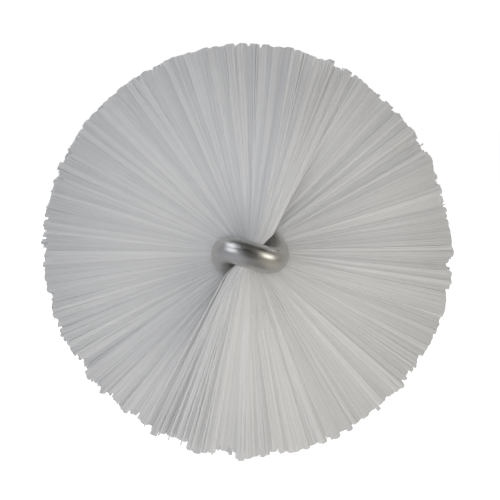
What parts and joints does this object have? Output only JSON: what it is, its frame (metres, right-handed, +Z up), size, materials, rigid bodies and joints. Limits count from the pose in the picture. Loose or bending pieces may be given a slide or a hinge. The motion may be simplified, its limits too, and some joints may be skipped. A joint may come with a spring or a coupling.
{
  "type": "pipe brush",
  "caption": "Round pipe brush: white bristles gripped in a folded and twisted steel wire, with a crimped ferrule and threaded stud for a rod.",
  "frame": {"origin": "on the surface that the brush lies on, under the middle of its length and its axis", "axes": "+Y along the stem from the folded tip to the threaded stud, +Z up from the surface, +X to the right of someone who faces the tip"},
  "size_m": [0.05, 0.2, 0.0495],
  "materials": {
    "drawn_stainless": "satin",
    "turned_stainless": "satin",
    "white_filament": "satin"
  },
  "bodies": {
    "root": {"stem_wire": "drawn_stainless", "bristles_tip": "white_filament", "bristles_front": "white_filament", "bristles_middle": "white_filament", "bristles_rear": "white_filament", "threaded_ferrule": "turned_stainless"}
  },
  "joints": []
}
